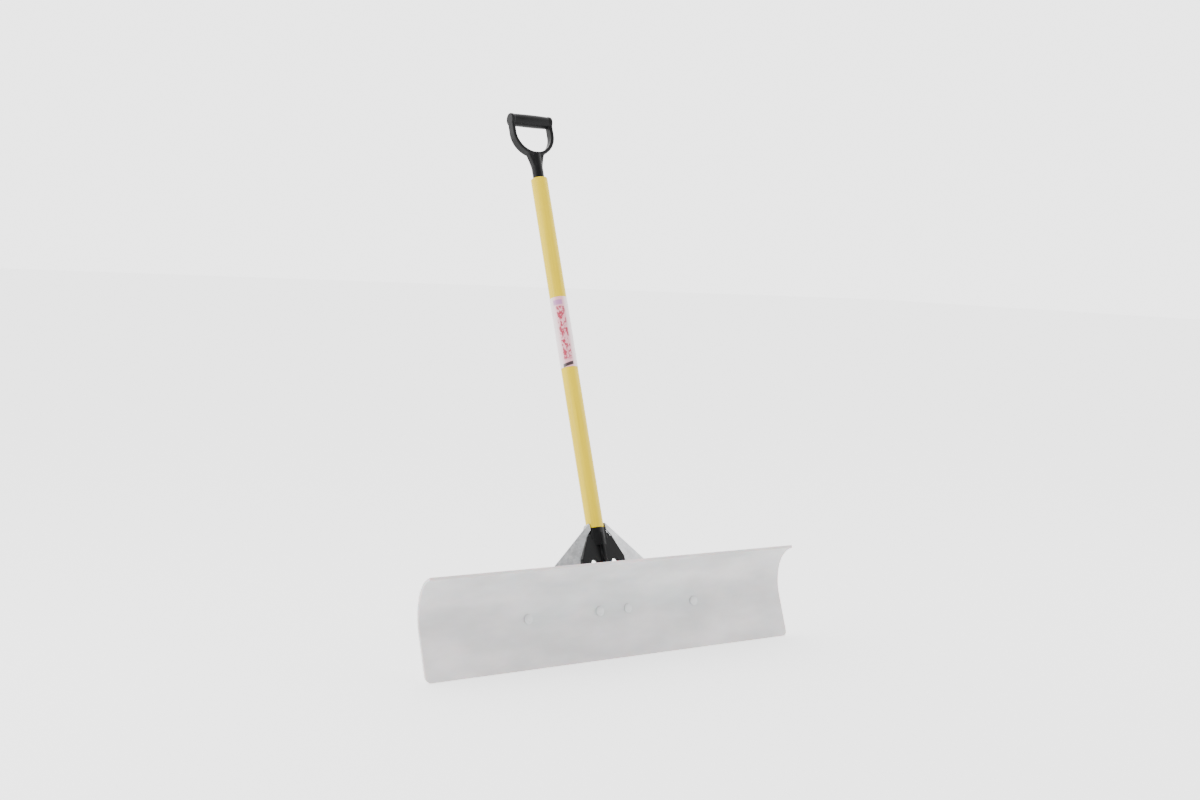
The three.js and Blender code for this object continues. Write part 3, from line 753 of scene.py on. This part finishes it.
def ring(outer, inner, low, high, soft=0.25, sides=64):
    """A flat washer with softened edges."""
    profile = [(inner, low + soft), (inner + soft, low), (outer - soft, low), (outer, low + soft),
               (outer, high - soft), (outer - soft, high), (inner + soft, high), (inner, high - soft)]
    return revolve(profile, sides, closed=True)


def lock_nut(low):
    """A hexagon with a round collar for the nylon ring; the bolt runs through it."""
    body = hexagon(NUT_CORNERS, low, low + NUT_HEIGHT)
    top = low + NUT_HEIGHT + NUT_COLLAR
    outer = NUT_CORNERS * COLLAR_PART
    collar = revolve([(outer, low + NUT_HEIGHT - 1), (outer, top - 0.9), (outer - 0.3, top - 0.3),
                      (outer - 0.9, top), (BOLT_RADIUS + 0.5, top), (BOLT_RADIUS + 0.3, top - 0.3),
                      (BOLT_RADIUS + 0.3, low + NUT_HEIGHT - 1)], 64, closed=True)
    return [body, collar]


def build_blade_fasteners():
    """Four bolts with low round heads on the snow side, each with a washer and a lock nut behind."""
    bolts = (("outer_left", -OUTER_BOLT_X, BRACE_THICKNESS), ("inner_left", -INNER_BOLT_X, BRACKET_PAD),
             ("inner_right", INNER_BOLT_X, BRACKET_PAD), ("outer_right", OUTER_BOLT_X, BRACE_THICKNESS))
    rim = [(8.9, -0.3), (9.7, -DOME_SEAT), (10, -1.1), (9.7, -1.7)]
    crown = [(r, -DOME_SEAT - DOME_HEIGHT * math.sqrt(1 - (r / 10.4) ** 2))
             for r in (8.8, 7.5, 6, 4.5, 3, 1.5, 0.4)]
    for place, x, pad in bolts:
        at = bolt_frame(x)
        pad_face = SHEET + pad + 2 * CLEARANCE
        nut_face = pad_face + WASHER + CLEARANCE
        end = nut_face + NUT_HEIGHT + NUT_COLLAR + THREAD_END
        dome = revolve(rim + crown, 72)
        square = prism(rounded_box(BOLT_SQUARE, BOLT_SQUARE, 0.6, 3), -1, 4)
        bolt = [dome, square, threads(BOLT_RADIUS, 3.5, end)]
        make(f"blade_bolt_{place}_piece", bolt, at, PALE_ZINC, f"blade_bolt_{place}")
        washer = [ring(BLADE_WASHER_RADIUS, BOLT_RADIUS + CLEARANCE, pad_face, pad_face + WASHER)]
        make(f"blade_washer_{place}_piece", washer, at, ZINC, f"blade_washer_{place}")
        make(f"blade_nut_{place}_piece", lock_nut(nut_face), at, ZINC, f"blade_nut_{place}")


def build_neck_fasteners():
    """The bolt across the neck that holds both brace tabs, with two washers and a lock nut."""
    tab_face = POLE_RADIUS + 2 * CLEARANCE + BRACE_THICKNESS
    seat = tab_face + WASHER + CLEARANCE
    end = seat + NUT_HEIGHT + NUT_COLLAR + THREAD_END
    shank = revolve([(BOLT_RADIUS, -seat - 1), (BOLT_RADIUS, 12)], 36)
    bolt = [hexagon(NUT_CORNERS, -seat - HEX_HEAD, -seat), shank, threads(BOLT_RADIUS, 11, end)]
    make("neck_bolt_piece", bolt, NECK_BOLT, ZINC, "neck_bolt")
    bore = BOLT_RADIUS + CLEARANCE
    left = [ring(NECK_WASHER_RADIUS, bore, -tab_face - WASHER, -tab_face)]
    right = [ring(NECK_WASHER_RADIUS, bore, tab_face, tab_face + WASHER)]
    make("neck_washer_left_piece", left, NECK_BOLT, ZINC, "neck_washer_left")
    make("neck_washer_right_piece", right, NECK_BOLT, ZINC, "neck_washer_right")
    make("neck_nut_piece", lock_nut(seat), NECK_BOLT, ZINC, "neck_nut")


def build_pole_screws():
    """Pan heads with a cross recess, on the back of the pole."""
    sides = 64
    turns = [2 * math.pi * i / sides for i in range(sides)]
    brim = [[(radius * math.cos(a), radius * math.sin(a), height) for a in turns]
            for radius, height in ((SCREW_HEAD_RADIUS - 0.3, 0.0), (SCREW_HEAD_RADIUS, 0.5))]
    crown = []
    for radius in (4.5, 4.2, 3.7, 3.2, 2.8, 2.4, 2.0, 1.7, 1.4, 1.1, 0.8, 0.5):
        points = []
        for a in turns:
            x, y = radius * math.cos(a), radius * math.sin(a)
            height = SCREW_HEAD_HEIGHT - 0.085 * radius ** 2
            in_cross = max(0.0, min(1.0, (0.62 - min(abs(x), abs(y))) / 0.2))
            height -= 1.3 * in_cross * max(0.0, min(1.0, (2.5 - radius) / 0.4))
            points.append((x, y, height))
        crown.append(points)
    screws = (("bracket_screw", POLE_START + SCREW_FROM_END), ("grip_screw", POLE_END - SCREW_FROM_END))
    for node, along in screws:
        at = (POLE @ Matrix.Translation((0, (POLE_RADIUS + CLEARANCE) * MM, along * MM))
              @ Matrix.Rotation(-math.pi / 2, 4, "X"))
        shank = threads(SCREW_RADIUS, -SCREW_LENGTH, 0.4, 1.4, 0.4, 24)
        make(f"{node}_piece", [loft(brim + crown), shank], at, ZINC, node)


# ---------------------------------------------------------------- stage

def build_camera():
    """Low and from the left of the snow side, slightly rolled."""
    azimuth, elevation, roll = math.radians(-33.61), math.radians(5.33), math.radians(2.64)
    distance = 3.0144
    low, high = CAD_BOUNDS
    centre = (low + high) / 2
    aim = centre + Vector((-0.0311, -0.1633, -0.0410))
    data = bpy.data.cameras.new("camera")
    data.lens = 42.9
    data.sensor_width = 36
    camera = bpy.data.objects.new("camera", data)
    bpy.context.scene.collection.objects.link(camera)
    back = Vector((math.sin(azimuth) * math.cos(elevation), -math.cos(azimuth) * math.cos(elevation),
                   math.sin(elevation)))
    right = Vector((math.cos(azimuth), math.sin(azimuth), 0))
    up = back.cross(right)
    across = right * math.cos(roll) + up * math.sin(roll)
    upright = up * math.cos(roll) - right * math.sin(roll)
    place = Matrix((across, upright, back)).transposed().to_4x4()
    place.translation = aim + back * distance
    camera.matrix_world = place
    bpy.context.scene.camera = camera


def add_light(name, place, target, size, power):
    """An area light that faces the target."""
    data = bpy.data.lights.new(name, "AREA")
    data.shape = "RECTANGLE"
    data.size, data.size_y = size
    data.energy = power
    light = bpy.data.objects.new(name, data)
    light.location = place
    light.rotation_mode = "QUATERNION"
    light.rotation_quaternion = (Vector(target) - Vector(place)).to_track_quat("-Z", "Y")
    bpy.context.scene.collection.objects.link(light)


def build_world():
    """Even bright surroundings with a soft dimmer area high up in front, on the left."""
    world = bpy.data.worlds.new("studio")
    bpy.context.scene.world = world
    world.use_nodes = True
    tree = world.node_tree
    towards = Vector((-0.25, -0.75, 0.6)).normalized()
    direction = tree.nodes.new("ShaderNodeTexCoord").outputs["Generated"]
    dot = tree.nodes.new("ShaderNodeVectorMath")
    dot.operation = "DOT_PRODUCT"
    tree.links.new(direction, dot.inputs[0])
    dot.inputs[1].default_value = towards
    dim = tree.nodes.new("ShaderNodeMapRange")
    dim.interpolation_type = "SMOOTHSTEP"
    dim.inputs["From Min"].default_value = 0.15
    dim.inputs["From Max"].default_value = 0.9
    dim.inputs["To Min"].default_value = SURROUND
    dim.inputs["To Max"].default_value = SURROUND * DIM
    tree.links.new(dot.outputs["Value"], dim.inputs["Value"])
    background = tree.nodes["Background"]
    background.inputs["Color"].default_value = (1.0, 1.0, 1.0, 1.0)
    tree.links.new(dim.outputs["Result"], background.inputs["Strength"])


def build_stage():
    """Pale floor and plain soft light."""
    n = Nodes("floor")
    grain = n.noise(3.0, 3.0)
    n.surface(n.blend(grain, (0.80, 0.80, 0.80), (0.81, 0.81, 0.81)), 0.9,
              Emission_Color=(1, 1, 1, 1), Emission_Strength=FLOOR_GLOW, Specular_IOR_Level=0.0)
    size = 40
    mesh = bpy.data.meshes.new("floor")
    corners = [(-size, -size, 0), (size, -size, 0), (size, size, 0), (-size, size, 0)]
    mesh.from_pydata(corners, [], [(0, 1, 2, 3)])
    mesh.materials.append(n.material)
    floor = bpy.data.objects.new("floor", mesh)
    floor.location.z = -0.0004
    bpy.context.scene.collection.objects.link(floor)
    build_world()
    add_light("left", (-2.6, 0.2, 1.3), (0, 0, 0.5), (1.4, 1.4), 34)
    add_light("right", (2.6, -1.6, 1.9), (0, 0, 0.4), (1.8, 1.4), 26)


build_blade()
build_bracket()
build_brace(-1)
build_brace(1)
build_pole()
build_label()
build_grip()
build_blade_fasteners()
build_neck_fasteners()
build_pole_screws()
build_camera()
build_stage()
